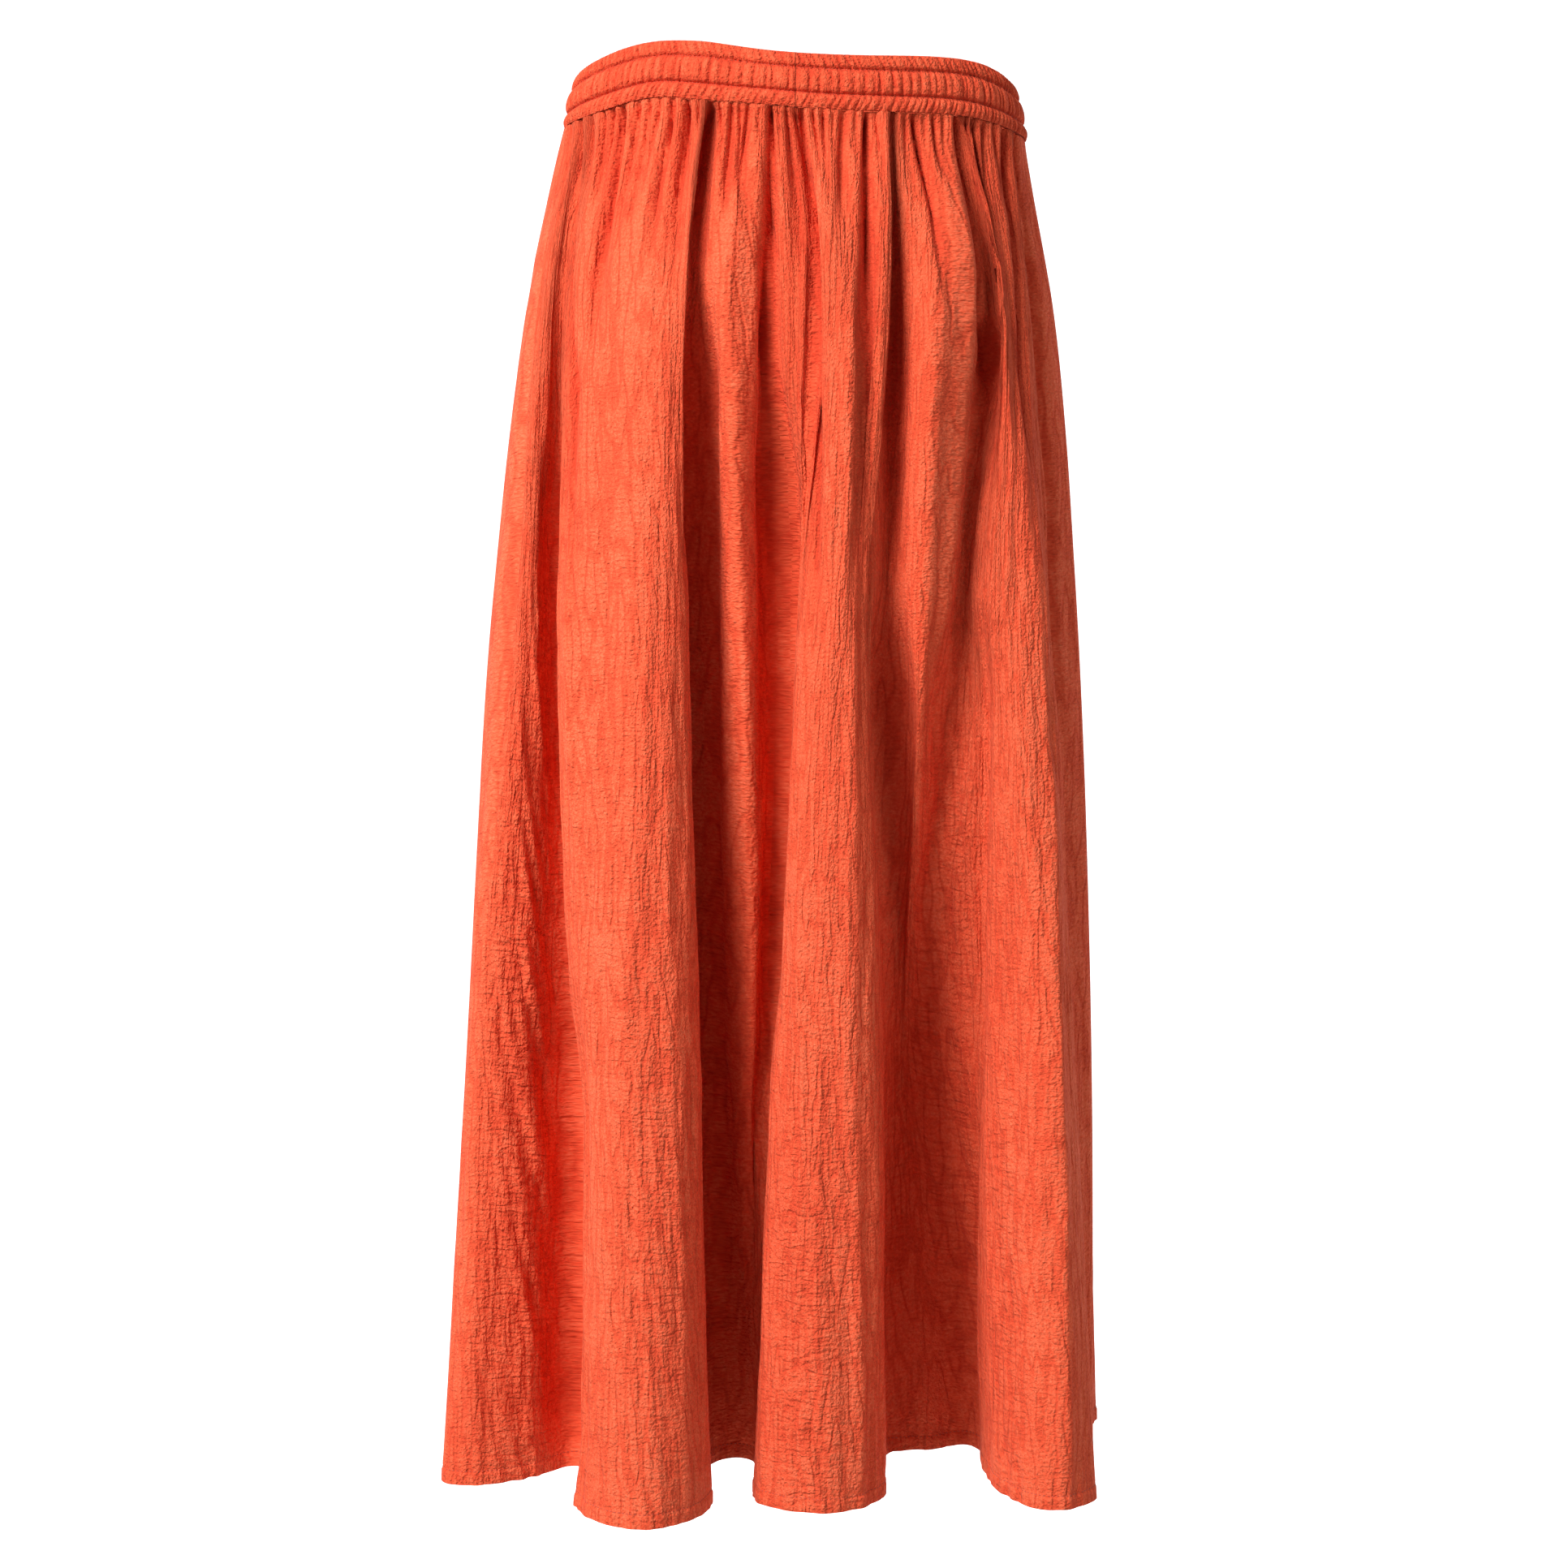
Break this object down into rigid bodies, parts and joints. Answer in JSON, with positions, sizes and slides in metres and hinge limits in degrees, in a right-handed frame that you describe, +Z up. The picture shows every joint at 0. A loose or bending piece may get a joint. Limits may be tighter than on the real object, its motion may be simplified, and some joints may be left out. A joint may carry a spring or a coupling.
{
  "type": "maxi skirt",
  "caption": "Long gathered skirt in crinkled double gauze with an elasticated waistband, hanging hollow in deep soft flutes as when worn.",
  "frame": {"origin": "centre of the waist opening, halfway up the waistband", "axes": "+Z up out of the waist, +X to the right of someone who looks at the front panel, -Y out of the front panel"},
  "size_m": [0.4243, 0.3089, 0.8843],
  "materials": {
    "gauze": "matt crinkled cotton double gauze, rust orange",
    "waistband_gauze": "the same gauze, gathered finely over three rows of elastic"
  },
  "bodies": {
    "root": {"front_panel": "gauze", "back_panel": "gauze", "waistband": "waistband_gauze"}
  },
  "joints": []
}
